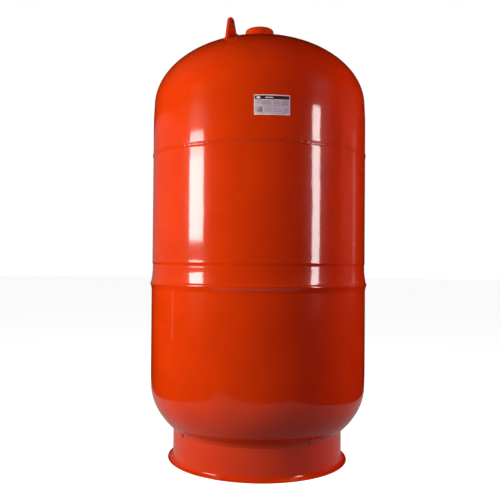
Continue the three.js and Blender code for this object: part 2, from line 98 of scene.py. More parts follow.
SWAGED_RADIUS = UPPER_RADIUS - WALL - GAP
FOOT_FLANGE = 18 * MM
FOOT_RADIUS = FOOT_LIP_RADIUS - FOOT_FLANGE
FOOT_FLARE = 12 * MM
VENT_RADIUS = 5 * MM
VENT_DROP = 3 * MM
VENT_AZIMUTH = 34
LUG_AZIMUTH = -26.6
LUG_RADIUS = 212 * MM
LUG_WIDTH = 66 * MM
LUG_TOP_RADIUS = 17.5 * MM
LUG_HOLE_RADIUS = 9.9 * MM
LUG_HOLE_DROP = 22 * MM
LUG_THICKNESS = 12 * MM
LUG_EDGE = 3.2 * MM
LUG_SIDE_ANGLE = 20
LUG_WELD_LEG = 5.2 * MM
LABEL_AZIMUTH = 6.1
PORT_CUT_LENGTH = 160 * MM

LOWER_TANGENT = BOTTOM + HEAD_DEPTH
UPPER_TANGENT = SEAM_LEVEL + SKIRT_LENGTH
LOWER_HEAD_RADIUS = VESSEL_RADIUS - LOWER_TAPER
UPPER_HEAD_RADIUS = UPPER_RADIUS - UPPER_TAPER
PORT_LEVEL = (socket_box[0].z + socket_box[1].z) / 2
VALVE_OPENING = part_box("valve_socket")[1].x + GAP


def upper_head_level(r):
    return UPPER_TANGENT + HEAD_DEPTH * math.sqrt(1 - (r / UPPER_HEAD_RADIUS) ** 2)


def lower_head_level(r):
    return LOWER_TANGENT - HEAD_DEPTH * math.sqrt(1 - (r / LOWER_HEAD_RADIUS) ** 2)


FOOT_TOP = lower_head_level(FOOT_RADIUS) - GAP

# ------------------------ material helpers


def new_material(name, color, roughness, metallic=0.0):
    material = bpy.data.materials.new(name)
    material.use_nodes = True
    shader = material.node_tree.nodes["Principled BSDF"]
    shader.inputs["Base Color"].default_value = (*color, 1)
    shader.inputs["Roughness"].default_value = roughness
    shader.inputs["Metallic"].default_value = metallic
    return material


def node(material, kind, **settings):
    made = material.node_tree.nodes.new(kind)
    for key, value in settings.items():
        if key in made.inputs:
            made.inputs[key].default_value = value
        else:
            setattr(made, key, value)
    return made


def link(material, a, out, b, into):
    material.node_tree.links.new(a.outputs[out], b.inputs[into])


def noise_of(material, scale, detail=3.0, roughness=0.5):
    """A noise texture in object space, whose scale is in cycles a metre."""
    place = node(material, "ShaderNodeTexCoord")
    texture = node(material, "ShaderNodeTexNoise", Scale=scale, Detail=detail, Roughness=roughness)
    link(material, place, "Object", texture, "Vector")
    return texture


def ramp_between(material, source, low, high, start=0.0, end=1.0):
    """A colour ramp from low to high over a part of the source's range."""
    ramp = node(material, "ShaderNodeValToRGB")
    ramp.color_ramp.elements[0].position = start
    ramp.color_ramp.elements[0].color = (*low, 1)
    ramp.color_ramp.elements[1].position = end
    ramp.color_ramp.elements[1].color = (*high, 1)
    link(material, source, "Fac", ramp, "Fac")
    return ramp


def range_between(material, source, out, low, high, start=0.3, end=0.7):
    mapped = node(material, "ShaderNodeMapRange")
    mapped.inputs["From Min"].default_value = start
    mapped.inputs["From Max"].default_value = end
    mapped.inputs["To Min"].default_value = low
    mapped.inputs["To Max"].default_value = high
    link(material, source, out, mapped, "Value")
    return mapped


def add_bump(material, layers):
    """Chained bumps from (texture, output, strength, distance) layers."""
    shader = material.node_tree.nodes["Principled BSDF"]
    last = None
    for texture, out, strength, distance in layers:
        bump = node(material, "ShaderNodeBump", Strength=strength, Distance=distance)
        link(material, texture, out, bump, "Height")
        if last:
            link(material, last, "Normal", bump, "Normal")
        last = bump
    link(material, last, "Normal", shader, "Normal")
    if shader.inputs["Coat Weight"].default_value > 0:
        link(material, last, "Normal", shader, "Coat Normal")


# ------------------------ materials

RED = (0.6, 0.0195, 0.0003)
RED_LIGHT = (0.66, 0.0225, 0.0005)


def red_paint(name, peel=0.045, grime=0.0):
    """Sprayed gloss enamel: faint shade changes, fine orange peel and slow waves in the plate."""
    material = new_material(name, RED, 0.2)
    shader = material.node_tree.nodes["Principled BSDF"]
    shader.inputs["Specular IOR Level"].default_value = 0.12
    shader.inputs["Coat Weight"].default_value = 0.85
    shader.inputs["Coat Roughness"].default_value = 0.035
    cloud = noise_of(material, 9.0, 4.0)
    tint = ramp_between(material, cloud, RED, RED_LIGHT, 0.35, 0.7)
    if grime:
        dust = noise_of(material, 60.0, 6.0, 0.7)
        mix = node(material, "ShaderNodeMix", data_type="RGBA")
        mask = range_between(material, dust, "Fac", 0.0, grime, 0.55, 0.8)
        link(material, mask, "Result", mix, "Factor")
        link(material, tint, "Color", mix, 6)
        mix.inputs[7].default_value = (0.16, 0.02, 0.006, 1)
        link(material, mix, 2, shader, "Base Color")
    else:
        link(material, tint, "Color", shader, "Base Color")
    haze = noise_of(material, 35.0, 5.0, 0.6)
    gloss = range_between(material, haze, "Fac", 0.2, 0.28)
    link(material, gloss, "Result", shader, "Roughness")
    orange_peel = noise_of(material, 420.0, 2.0)
    slow_wave = noise_of(material, 14.0, 1.0)
    add_bump(material, [(slow_wave, "Fac", 0.05, 0.01), (orange_peel, "Fac", peel, 0.001)])
    return material


def metal(name, color, roughness, streak=900.0):
    material = new_material(name, color, roughness, 1.0)
    shader = material.node_tree.nodes["Principled BSDF"]
    darker = tuple(0.72 * c for c in color)
    stain = noise_of(material, 300.0, 4.0)
    tint = ramp_between(material, stain, darker, color, 0.3, 0.65)
    link(material, tint, "Color", shader, "Base Color")
    gloss = range_between(material, stain, "Fac", roughness - 0.08, roughness + 0.12)
    link(material, gloss, "Result", shader, "Roughness")
    turned = noise_of(material, streak, 2.0)
    add_bump(material, [(turned, "Fac", 0.12, 0.0004)])
    return material


def moulded(name, color, roughness, grain=0.1, grain_scale=1800.0):
    material = new_material(name, color, roughness)
    shader = material.node_tree.nodes["Principled BSDF"]
    brighter = tuple(min(1.0, 1.25 * c + 0.004) for c in color)
    cloud = noise_of(material, 90.0, 3.0)
    tint = ramp_between(material, cloud, color, brighter, 0.35, 0.7)
    link(material, tint, "Color", shader, "Base Color")
    gloss = range_between(material, cloud, "Fac", roughness - 0.06, roughness + 0.08)
    link(material, gloss, "Result", shader, "Roughness")
    texture = noise_of(material, grain_scale, 2.0)
    add_bump(material, [(texture, "Fac", grain, 0.0003)])
    return material


PAINT = red_paint("red_paint")
WELD_PAINT = red_paint("weld_paint", peel=0.08, grime=0.35)
COVER_PLASTIC = red_paint("cover_red", peel=0.03)
# Dark red-brown that stands for the shade inside the lugs' holes: painted shade, not wear.
HOLE_SHADE_PAINT = moulded("painted_hole_shade", (0.05, 0.009, 0.003), 0.6, 0.3, 700.0)
RUBBER = moulded("black_rubber", (0.02, 0.02, 0.021), 0.75, 0.25, 900.0)
BRASS = metal("brass_turned", (0.72, 0.5, 0.2), 0.3)
STEEL = metal("bare_steel", (0.5, 0.5, 0.51), 0.42)
BLACK_PLASTIC = moulded("black_cap_plastic", (0.018, 0.018, 0.02), 0.5)
YELLOW_PLASTIC = moulded("yellow_plug_plastic", (0.72, 0.42, 0.03), 0.4)

# ------------------------ mesh helpers


def heading(azimuth):
    """Angle in plan of an azimuth in degrees, measured from the front (-Y) towards +X."""
    return math.radians(azimuth - 90)


def polar(r, angle, z=0.0):
    return Vector((r * math.cos(angle), r * math.sin(angle), z))


def smooth(mesh, sharp=32):
    """Shades a mesh smooth, with edges sharper than an angle in degrees left crisp."""
    mesh.shade_smooth()
    mesh.set_sharp_from_angle(angle=math.radians(sharp))


def add_object(name, bm):
    """Makes a scene object of a bmesh, and frees the bmesh."""
    mesh = bpy.data.meshes.new(name)
    bm.to_mesh(mesh)
    bm.free()
    made = bpy.data.objects.new(name, mesh)
    bpy.context.scene.collection.objects.link(made)
    return made


def finish_mesh(name, bm, material, body, replaced, sharp=32):
    """Turns a bmesh into a shown piece that rides on a body and stands for CAD nodes."""
    bmesh.ops.remove_doubles(bm, verts=bm.verts, dist=1e-7)
    bmesh.ops.recalc_face_normals(bm, faces=bm.faces)
    piece = add_object(name, bm)
    smooth(piece.data, sharp)
    piece.data.materials.append(material)
    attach(piece, body)
    if replaced:
        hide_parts(*replaced)
    return piece


def round_corners(profile, steps=4):
    """Rounds the corners of a closed profile of (r, z, radius) points; a radius of 0 leaves a corner."""
    points = [(p[0], p[1], p[2] if len(p) > 2 else 0.0) for p in profile]
    out = []
    for i, (r, z, radius) in enumerate(points):
        corner = Vector((r, z))
        if radius <= 0:
            out.append(corner)
            continue
        before = (Vector(points[i - 1][:2]) - corner).normalized() * radius
        after = (Vector(points[(i + 1) % len(points)][:2]) - corner).normalized() * radius
        for k in range(steps + 1):
            t = k / steps
            out.append(corner + before * (1 - t) ** 2 + after * t**2)
    return out


def subdivide_profile(points, step):
    """Splits the long sides of a closed profile into stretches no longer than step."""
    out = []
    for i, a in enumerate(points):
        b = points[(i + 1) % len(points)]
        count = max(1, math.ceil((b - a).length / step))
        out.extend(a.lerp(b, k / count) for k in range(count))
    return out


def revolved(profile, segments, shift=None):
    """A bmesh of a closed profile turned around Z. shift(angle, r, z) gives a radial change."""
    bm = bmesh.new()
    rings = []
    for p in profile:
        if p.x < 1e-7:
            pole = bm.verts.new((0, 0, p.y))
            rings.append([pole] * segments)
            continue
        ring = []
        for j in range(segments):
            angle = TAU * j / segments
            r = p.x + (shift(angle, p.x, p.y) if shift else 0)
            ring.append(bm.verts.new(polar(r, angle, p.y)))
        rings.append(ring)
    for i, ring in enumerate(rings):
        following = rings[(i + 1) % len(rings)]
        for j in range(segments):
            k = (j + 1) % segments
            corners = []
            for v in (ring[j], following[j], following[k], ring[k]):
                if v not in corners:
                    corners.append(v)
            if len(corners) > 2:
                bm.faces.new(corners)
    return bm


def turned_piece(name, profile, segments, material, body, replaced, shift=None, step=None, turn=None):
    """A revolved piece with rounded corners, optionally turned away from the Z axis."""
    points = round_corners(profile)
    if step:
        points = subdivide_profile(points, step)
    bm = revolved(points, segments, shift)
    if turn is not None:
        bm.transform(turn)
    return finish_mesh(name, bm, material, body, replaced)


def bridge(bm, rings, closed):
    """Quads between neighbouring rings of vertices; an open row of rings is capped at both ends."""
    following = rings[1:] + rings[:1] if closed else rings[1:]
    for first, second in zip(rings, following):
        for k in range(len(first)):
            m = (k + 1) % len(first)
            bm.faces.new((first[k], second[k], second[m], first[m]))
    if not closed:
        bm.faces.new(rings[0])
        bm.faces.new(rings[-1])


def applied_mesh(piece):
    """A piece's mesh with its modifiers applied. The modifiers are removed."""
    bpy.context.view_layer.update()
    made = bpy.data.meshes.new_from_object(piece.evaluated_get(bpy.context.evaluated_depsgraph_get()))
    piece.modifiers.clear()
    return made


def combine(piece, tool_bm, operation):
    """Cuts a bmesh out of a piece or adds it to the piece, and applies the result."""
    bmesh.ops.recalc_face_normals(tool_bm, faces=tool_bm.faces)
    tool = add_object("tool", tool_bm)
    modifier = piece.modifiers.new("combine", "BOOLEAN")
    modifier.operation = operation
    modifier.solver = "EXACT"
    modifier.object = tool
    piece.data = applied_mesh(piece)
    smooth(piece.data)
    bpy.data.objects.remove(tool)


def bar_bm(radius, length, matrix, segments=48):
    bm = bmesh.new()
    bmesh.ops.create_cone(
        bm, cap_ends=True, segments=segments, radius1=radius, radius2=radius, depth=length, matrix=matrix
    )
    return bm


# ------------------------ shells

SHELL_SEGMENTS = 288
HEAD_STEPS = 40
PLATE_STEP = 14 * MM


def plate_wave(seed, size):
    """Slow unevenness of rolled and drawn plate."""
    offset = Vector((seed, 2 * seed, 3 * seed))

    def shift(angle, r, z):
        return size * noise.noise(polar(r, angle, z) * 5.0 + offset)

    return shift


def head_profile(level, radius, sign, offset, inner):
    """A half ellipse from the radius inner out to the tangent line; sign 1 is up, -1 is down."""
    first = math.asin(inner / (radius + offset))
    out = []
    for i in range(HEAD_STEPS + 1):
        angle = first + (math.pi / 2 - first) * i / HEAD_STEPS
        height = sign * (HEAD_DEPTH + offset) * math.cos(angle)
        out.append(((radius + offset) * math.sin(angle), level + height))
    return out


def make_upper_head():
    bottom = upper_head_box[0].z
    taper = UPPER_TANGENT - UPPER_TAPER_LENGTH
    outside = head_profile(UPPER_TANGENT, UPPER_HEAD_RADIUS, 1, 0, VALVE_OPENING)[::-1]
    inside = head_profile(UPPER_TANGENT, UPPER_HEAD_RADIUS, 1, -WALL, VALVE_OPENING)
    profile = [
        (UPPER_RADIUS - WALL, bottom),
        (UPPER_RADIUS - 0.8 * MM, bottom, 0),
        (UPPER_RADIUS, bottom + 9 * MM, 4 * MM),
        (UPPER_RADIUS, taper, 12 * MM),
        *outside,
        *inside,
        (UPPER_RADIUS - WALL, taper),
    ]
    return turned_piece(
        "upper_head_skin", profile, SHELL_SEGMENTS, PAINT, VESSEL, ["upper_head"],
        plate_wave(11.3, 0.12 * MM), PLATE_STEP,
    )


def flare_points(radius, neck):
    """The belled end: a quadratic flare from the neck down to where the edge rolls out."""
    steps = 14
    out = []
    for i in range(steps + 1):
        share = i / steps
        rise = (FLARE_RISE + neck) * (1 - share) ** 2 - neck
        out.append((radius + rise, BELLY_LEVEL + FLARE_START + (FLARE_END - FLARE_START) * share))
    return out


def offset_points(radius, line):
    return [(radius + rise * MM, BELLY_LEVEL + height * MM) for rise, height in line]


def make_upper_shell():
    top = upper_shell_box[1].z
    inner = UPPER_RADIUS - WALL
    outside = offset_points(UPPER_RADIUS, BELL_TIP) + flare_points(UPPER_RADIUS, NECK)
    outside += offset_points(UPPER_RADIUS, GROOVE_LINE)
    inside = [(inner + BELL_RISE, BELLY_LEVEL), *flare_points(inner, 0), *offset_points(inner, GROOVE_INSIDE)]
    profile = [
        *outside,
        (UPPER_RADIUS, top - 8 * MM, 4 * MM),
        (UPPER_RADIUS - 0.9 * MM, top),
        (UPPER_RADIUS - WALL, top),
        *inside[::-1],
    ]
    return turned_piece(
        "upper_shell_skin", profile, SHELL_SEGMENTS, PAINT, VESSEL, ["upper_shell"],
        plate_wave(3.7, 0.14 * MM), PLATE_STEP,
    )


def make_lower_shell():
    taper = LOWER_TANGENT + LOWER_TAPER_LENGTH
    swage = BELLY_LEVEL + SWAGE_LENGTH
    outside = head_profile(LOWER_TANGENT, LOWER_HEAD_RADIUS, -1, 0, 0)
    inside = head_profile(LOWER_TANGENT, LOWER_HEAD_RADIUS, -1, -WALL, 0)[::-1]
    profile = [
        *outside,
        (VESSEL_RADIUS, taper, 12 * MM),
        (VESSEL_RADIUS, BELLY_LEVEL, 1 * MM),
        (SWAGED_RADIUS, swage, 1 * MM),
        (SWAGED_RADIUS, LOWER_SHELL_TOP),
        (SWAGED_RADIUS - WALL, LOWER_SHELL_TOP),
        (SWAGED_RADIUS - WALL, swage),
        (VESSEL_RADIUS - WALL, BELLY_LEVEL),
        (VESSEL_RADIUS - WALL, taper),
        *inside,
    ]
    skin = turned_piece(
        "lower_shell_skin", profile, SHELL_SEGMENTS, PAINT, VESSEL, ["lower_shell"],
        plate_wave(7.9, 0.12 * MM), PLATE_STEP,
    )
    place = Matrix.Translation((0, VESSEL_RADIUS, PORT_LEVEL)) @ Matrix.Rotation(math.pi / 2, 4, "X")
    combine(skin, bar_bm(socket_box[1].x + GAP, PORT_CUT_LENGTH, place), "DIFFERENCE")
    return skin


def weld_ripple(pitch, height, wave_pitch, wave, seed):
    """Overlapping crescents along a bead, with a slower unevenness of the travel."""

    def shift(angle, r, z):
        along = angle * r / pitch
        crescent = abs(math.sin(math.pi * along))
        return height * (crescent - 0.5) + wave * noise.noise(polar(r / wave_pitch, angle, seed))

    return shift


SEAM_LINE = (
    (-0.6, -7.0), (0.9, -5.0), (1.5, -3.4), (1.6, -1.6), (0.7, -0.5), (0.6, 0.4), (1.5, 2.0), (2.0, 3.4),
    (1.9, 5.0), (1.0, 6.4), (-0.6, 7.2), (-2.0, 7.2), (-2.0, -7.0),
)


def make_seam_weld():
    profile = [(UPPER_RADIUS + rise * MM, SEAM_LEVEL + height * MM) for rise, height in SEAM_LINE]
    ripple = weld_ripple(5.5 * MM, 0.16 * MM, 11 * MM, 0.85 * MM, 4.0)
    return turned_piece(
        "upper_seam_bead", profile, 2400, WELD_PAINT, VESSEL, ["upper_seam_weld"], ripple
    )


def make_belly_weld():
    low, high = belly_weld_box
    steps = 10
    foot = VESSEL_RADIUS - 0.2 * MM
    rise = high.x - foot - 0.3 * MM
    profile = []
    for i in range(steps + 1):
        share = i / steps
        profile.append((foot + rise * share**1.35, low.z + (high.z - low.z) * share))
    profile += [(foot - 1.5 * MM, high.z), (foot - 1.5 * MM, low.z)]
    ripple = weld_ripple(7 * MM, 0.12 * MM, 14 * MM, 0.3 * MM, 9.0)
    return turned_piece(
        "belly_seam_bead", profile, 1800, WELD_PAINT, VESSEL, ["belly_seam_weld"], ripple
    )


make_upper_head()
make_upper_shell()
make_lower_shell()
make_seam_weld()
make_belly_weld()

# ------------------------ foot ring


def make_foot_ring():
    steps = 10
    centre = (FOOT_RADIUS + FOOT_FLARE, WALL + FOOT_FLARE)

    def flare(radius):
        out = []
        for i in range(steps + 1):
            angle = math.pi / 2 * i / steps
            out.append((centre[0] - radius * math.sin(angle), centre[1] - radius * math.cos(angle)))
        return out

    inside = FOOT_RADIUS - WALL
    profile = [
        (FOOT_LIP_RADIUS, 0, 0.6 * MM),
        (FOOT_LIP_RADIUS, WALL, 1.2 * MM),
        *flare(FOOT_FLARE),
        (FOOT_RADIUS, FOOT_TOP),
        (inside, lower_head_level(inside) - GAP),
        *flare(FOOT_FLARE + WALL)[::-1],
    ]
    ring = turned_piece(
        "foot_ring_skin", profile, SHELL_SEGMENTS, PAINT, VESSEL, ["foot_ring"],
        plate_wave(21.0, 0.2 * MM), PLATE_STEP,
    )
    cutters = bmesh.new()
    for i in range(4):
        angle = heading(VENT_AZIMUTH + 90 * i)
        out = Matrix.Rotation(angle, 4, "Z") @ Matrix.Translation((FOOT_RADIUS, 0, FOOT_TOP - VENT_DROP))
        bmesh.ops.create_cone(
            cutters, cap_ends=True, segments=32, radius1=VENT_RADIUS, radius2=VENT_RADIUS,
            depth=60 * MM, matrix=out @ Matrix.Rotation(math.pi / 2, 4, "Y"),
        )
    combine(ring, cutters, "DIFFERENCE")
    return ring


def make_foot_weld(index):
    """An arc of fillet weld between two vents, tapering off at both ends."""
    start = VENT_AZIMUTH + 90 * index
    margin = math.degrees(VENT_RADIUS * 1.15 / FOOT_RADIUS)
    leg = 5.5 * MM
    count = 420
    section = 9
    bm = bmesh.new()
    rings = []
    pitch = 6 * MM
    for j in range(count + 1):
        azimuth = start + margin + (90 - 2 * margin) * j / count
        angle = heading(azimuth)
        along = FOOT_RADIUS * math.radians(azimuth) / pitch
        end = min(j, count - j) / 7
        size = leg * min(1.0, 0.35 + 0.65 * end) * (1 + 0.09 * noise.noise(Vector((along * 0.4, index, 0))))
        size += 0.25 * MM * (abs(math.sin(math.pi * along)) - 0.5)
        outer = FOOT_RADIUS + size
        a = Vector((FOOT_RADIUS - 0.5 * MM, FOOT_TOP - size))
        b = Vector((outer, lower_head_level(outer) + 0.3 * MM))
        root = Vector((FOOT_RADIUS - 0.5 * MM, lower_head_level(FOOT_RADIUS) + 0.6 * MM))
        points = [root]
        for k in range(section + 1):
            t = k / section
            flat = a.lerp(b, t)
            bulge = (flat - root).normalized() * (0.3 * MM * math.sin(math.pi * t))
            points.append(flat + bulge)
        rings.append([bm.verts.new(polar(p.x, angle, p.y)) for p in points])
    bridge(bm, rings, closed=False)
    name = f"foot_weld_{index + 1}"
    return finish_mesh(name + "_bead", bm, WELD_PAINT, VESSEL, [name])


make_foot_ring()
for weld_index in range(4):
    make_foot_weld(weld_index)

# ------------------------ lifting lugs


def lug_outline():
    """Closed outline of the plate: x is the radius from the axis, y the level."""
    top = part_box("lifting_lug_1")[1].z
    half = LUG_WIDTH / 2
    side = math.radians(LUG_SIDE_ANGLE)
    centre = Vector((LUG_RADIUS, top - LUG_TOP_RADIUS))
    points = []
    steps = 10
    for i in range(steps + 1):
        r = LUG_RADIUS - half + 2 * half * i / steps
        points.append(Vector((r, upper_head_level(r) - 1 * MM)))
    arc = 20
    for i in range(arc + 1):
        angle = side + (math.pi - 2 * side) * i / arc
        points.append(centre + LUG_TOP_RADIUS * Vector((math.cos(angle), math.sin(angle))))
    return points, top


def make_lug(index):
    """A plate with rounded edges and a hole whose bore is painted dark, as painted shade."""
    points, top = lug_outline()
    bm = bmesh.new()
    verts = [bm.verts.new((p.x, -LUG_THICKNESS / 2, p.y)) for p in points]
    face = bm.faces.new(verts)
    grown = bmesh.ops.extrude_face_region(bm, geom=[face])
    moved = [g for g in grown["geom"] if isinstance(g, bmesh.types.BMVert)]
    bmesh.ops.translate(bm, verts=moved, vec=(0, LUG_THICKNESS, 0))
    bmesh.ops.recalc_face_normals(bm, faces=bm.faces)
    rims = [e for e in bm.edges if abs(e.verts[0].co.y - e.verts[1].co.y) < 0.1 * MM]
    bmesh.ops.bevel(bm, geom=rims, offset=LUG_EDGE, segments=5, affect="EDGES", profile=0.5)
    name = f"lifting_lug_{index + 1}"
    plate = finish_mesh(name + "_plate", bm, PAINT, VESSEL, [name], 30)
    place = Matrix.Translation((LUG_RADIUS, 0, top - LUG_HOLE_DROP)) @ Matrix.Rotation(math.pi / 2, 4, "X")
    combine(plate, bar_bm(LUG_HOLE_RADIUS, 4 * LUG_THICKNESS, place), "DIFFERENCE")
    bevel = plate.modifiers.new("edges", "BEVEL")
    bevel.width = 0.5 * MM
    bevel.segments = 3
    bevel.limit_method = "ANGLE"
    bevel.angle_limit = math.radians(45)
    done = applied_mesh(plate)
    # The bore faces of the hole get the dark painted shade in place of the red paint.
    done.materials.append(HOLE_SHADE_PAINT)
    for face in done.polygons:
        middle = Vector((face.center.x - LUG_RADIUS, face.center.z - (top - LUG_HOLE_DROP)))
        if abs(face.normal.y) < 0.7 and middle.length < LUG_HOLE_RADIUS + 0.2 * MM:
            face.material_index = 1
    turn = Matrix.Rotation(heading(LUG_AZIMUTH + 180 * index), 4, "Z")
    done.transform(turn)
    smooth(done, 40)
    plate.data = done
    return plate


def make_lug_weld(index):
    """A rippled fillet round the foot of the lug, lying on the dome."""
    half = LUG_WIDTH / 2
    across = LUG_THICKNESS / 2
    corner = 2.5 * MM
    loop = []
    corners = [(half, across, 0), (-half, across, 90), (-half, -across, 180), (half, -across, 270)]
    for x, y, start in corners:
        middle = Vector((x - math.copysign(corner, x), y - math.copysign(corner, y)))
        for k in range(7):
            angle = math.radians(start + 15 * k)
            loop.append((middle + corner * Vector((math.cos(angle), math.sin(angle))), angle))
    path = []
    for i, (a, angle_a) in enumerate(loop):
        b, angle_b = loop[(i + 1) % len(loop)]
        count = max(1, round((b - a).length / (1.0 * MM)))
        swing = (angle_b - angle_a) % TAU
        for k in range(count):
            path.append((a.lerp(b, k / count), angle_a + swing * k / count))
    bm = bmesh.new()
    rings = []
    section = 8
    travelled = 0.0
    for i, (point, angle) in enumerate(path):
        travelled += (point - path[i - 1][0]).length if i else 0
        out = Vector((math.cos(angle), math.sin(angle)))
        wobble = noise.noise(Vector((travelled * 260, index * 5.0, 1.0)))
        leg = LUG_WELD_LEG * (1 + 0.14 * wobble)
        leg += 0.45 * MM * (abs(math.sin(math.pi * travelled / (4.2 * MM))) - 0.5)
        inner = point - out * 1.0 * MM
        ring = []
        for k in range(section + 1):
            t = k / section
            reach = 1.0 * MM + leg * math.sin(math.pi / 2 * t) ** 1.15
            lift = leg * math.cos(math.pi / 2 * t) ** 1.15
            plan = inner + out * reach
            place = (LUG_RADIUS + plan.x, plan.y)
            ground = upper_head_level(math.hypot(*place)) - 0.5 * MM
            ring.append(bm.verts.new((*place, ground + lift)))
        place = (LUG_RADIUS + inner.x, inner.y)
        ring.append(bm.verts.new((*place, upper_head_level(math.hypot(*place)) - 1.5 * MM)))
        rings.append(ring)
    bridge(bm, rings, closed=True)
    bm.transform(Matrix.Rotation(heading(LUG_AZIMUTH + 180 * index), 4, "Z"))
    name = f"lug_weld_{index + 1}"
    return finish_mesh(name + "_bead", bm, WELD_PAINT, VESSEL, [name])


for lug_index in range(2):
    make_lug(lug_index)
    make_lug_weld(lug_index)

# ------------------------ valve cover

COVER_WALL = 2.5 * MM
COVER_SHOULDER = 10 * MM
COVER_RIM = 17 * MM
COVER_DISH = 0.7 * MM


def make_cover():
    """A round cap with a rounded shoulder and a shallow dished top."""
    outer = cover_box[1].x
    low = upper_head_level(outer) + 0.5 * MM
    top = cover_box[1].z
    profile = [
        (outer - COVER_WALL, low, 0.5 * MM),
        (outer, low, 0.8 * MM),
        (outer - 0.5 * MM, top, COVER_SHOULDER),
        (outer - COVER_RIM, top, 1 * MM),
        (outer - COVER_RIM - 1.5 * MM, top - COVER_DISH, 1 * MM),
        (0, top - COVER_DISH),
        (0, top - COVER_WALL),
        (outer - COVER_WALL - 0.4 * MM, top - COVER_WALL, COVER_SHOULDER - COVER_WALL),
    ]
    return turned_piece(
        "valve_cover_cap", profile, 128, COVER_PLASTIC, "cover", ["valve_cover"], step=8 * MM
    )


make_cover()

# ------------------------ neck and gas valve

VALVE_SEGMENTS = 96
NECK_WALL = 3 * MM
NECK_WELD_LEG = 5 * MM
VALVE_WELD_LEG = 4.5 * MM
HEX_FLATS = 19 * MM
STEM_RADIUS = 3.85 * MM
STEM_BORE = 2.6 * MM
THREAD_PITCH = 0.85 * MM
CAP_RIBS = 24
BAG_DEPTH = 240 * MM
BAG_THICKNESS = 3 * MM
SHELL_TO_BAG = 8.1 * MM


def thread(radius, depth, start, end, pitch):
    """Rings of a thread's profile between two levels, in either direction."""
    count = round(abs(end - start) / pitch)
    out = []
    for i in range(count):
        level = start + (end - start) * i / count
        turn = (end - start) / count
        out += [(radius, level), (radius, level + 0.15 * turn)]
        out += [(radius + depth, level + 0.5 * turn), (radius + depth, level + 0.65 * turn)]
    return out


def fillet_ring(name, foot, leg, sign, material, replaced, seed):
    """A rippled fillet weld on the upper head, outside (sign 1) or inside (sign -1) the radius foot."""
    steps = 8
    inner = foot - sign * 1.0 * MM
    profile = []
    for i in range(steps + 1):
        angle = math.pi / 2 * i / steps
        reach = inner + sign * (1.0 * MM + leg) * math.sin(angle) ** 1.2
        profile.append((reach, upper_head_level(reach) - 0.4 * MM + leg * math.cos(angle) ** 1.2))
    profile.append((inner, upper_head_level(inner) - 1.5 * MM))
    ripple = weld_ripple(3.2 * MM, 0.2 * MM, 7 * MM, 0.5 * MM, seed)

    def shift(angle, r, z):
        return ripple(angle, foot, z) * (1 if abs(r - inner) > 0.5 * MM else 0)

    return turned_piece(name, profile, 480, material, VESSEL, [replaced], shift)


def make_neck():
    outer, top = neck_box[1].x, neck_box[1].z
    inner = outer - NECK_WALL
    profile = [
        (inner, upper_head_level(inner) + 0.2 * MM),
        (outer, upper_head_level(outer) + 0.2 * MM),
        (outer, top, 0.9 * MM),
        (inner, top, 0.9 * MM),
    ]
    turned_piece("valve_neck_ring", profile, 128, PAINT, VESSEL, ["valve_neck"])
    fillet_ring("valve_neck_bead", inner, NECK_WELD_LEG, -1, WELD_PAINT, "valve_neck_weld", 3.0)


def make_valve():
    socket_low, socket_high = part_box("valve_socket")
    body_low, body_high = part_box("valve_body")
    seal_low, seal_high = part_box("valve_seal")
    outer, bore = socket_high.x, 9 * MM
    profile = [
        (bore, socket_low.z),
        (outer, socket_low.z, 0.6 * MM),
        (outer, socket_high.z, 1.0 * MM),
        (bore, socket_high.z, 0.5 * MM),
    ]
    turned_piece("valve_socket_boss", profile, VALVE_SEGMENTS, PAINT, VESSEL, ["valve_socket"])
    fillet_ring("valve_socket_bead", outer, VALVE_WELD_LEG, 1, WELD_PAINT, "valve_socket_weld", 8.0)
    width = 2.2 * MM
    ring = [
        (seal_high.x - width, seal_low.z, 0.5 * MM),
        (seal_high.x, seal_low.z, 0.5 * MM),
        (seal_high.x, seal_high.z, 0.5 * MM),
        (seal_high.x - width, seal_high.z, 0.5 * MM),
    ]
    turned_piece("valve_seal_ring", ring, VALVE_SEGMENTS, RUBBER, VESSEL, ["valve_seal"])
    hex_top = body_high.z - 8 * MM
    hex_bottom = hex_top - 4 * MM
    corner = HEX_FLATS / math.sqrt(3)
    chamfer = 0.55 * MM
    shank = bore - GAP
    threads = thread(STEM_RADIUS, -0.4 * MM, hex_top + 0.9 * MM, body_high.z - 0.8 * MM, THREAD_PITCH)
    profile = [
        (STEM_BORE, body_low.z),
        (shank, body_low.z, 0.5 * MM),
        (shank, hex_bottom),
        (corner - 1.1 * MM, hex_bottom),
        (corner, hex_bottom + chamfer),
        (corner, hex_top - chamfer),
        (corner - 1.1 * MM, hex_top),
        (STEM_RADIUS - 0.4 * MM, hex_top),
        *threads,
        (STEM_RADIUS - 0.3 * MM, body_high.z),
        (STEM_BORE, body_high.z, 0.3 * MM),
    ]

    def hexagon(angle, r, z):
        if r < HEX_FLATS / 2 - 0.1 * MM:
            return 0
        flat = HEX_FLATS / 2 / math.cos((angle % (TAU / 6)) - TAU / 12)
        return min(flat, r) - r

    turned_piece("valve_body_hex", profile, 144, BRASS, VESSEL, ["valve_body"], hexagon)


def make_dust_cap():
    low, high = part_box("dust_cap")
    bore = STEM_RADIUS + GAP
    ceiling = high.z - 1.8 * MM
    profile = [
        (bore, low.z, 0.2 * MM),
        (high.x, low.z, 0.3 * MM),
        (high.x, low.z + 0.9 * MM),
        (high.x, low.z + 1.1 * MM),
        (high.x, high.z - 1.6 * MM),
        (high.x, high.z, 1.1 * MM),
        (0, high.z),
        (0, ceiling),
        (bore, ceiling),
    ]

    def ribs(angle, r, z):
        gripped = r > high.x - 0.3 * MM and low.z + 1.0 * MM < z < high.z - 0.9 * MM
        return -0.16 * MM * (1 - abs(math.cos(CAP_RIBS / 2 * angle))) if gripped else 0

    turned_piece("dust_cap_ribbed", profile, 288, BLACK_PLASTIC, "cap", ["dust_cap"], ribs)


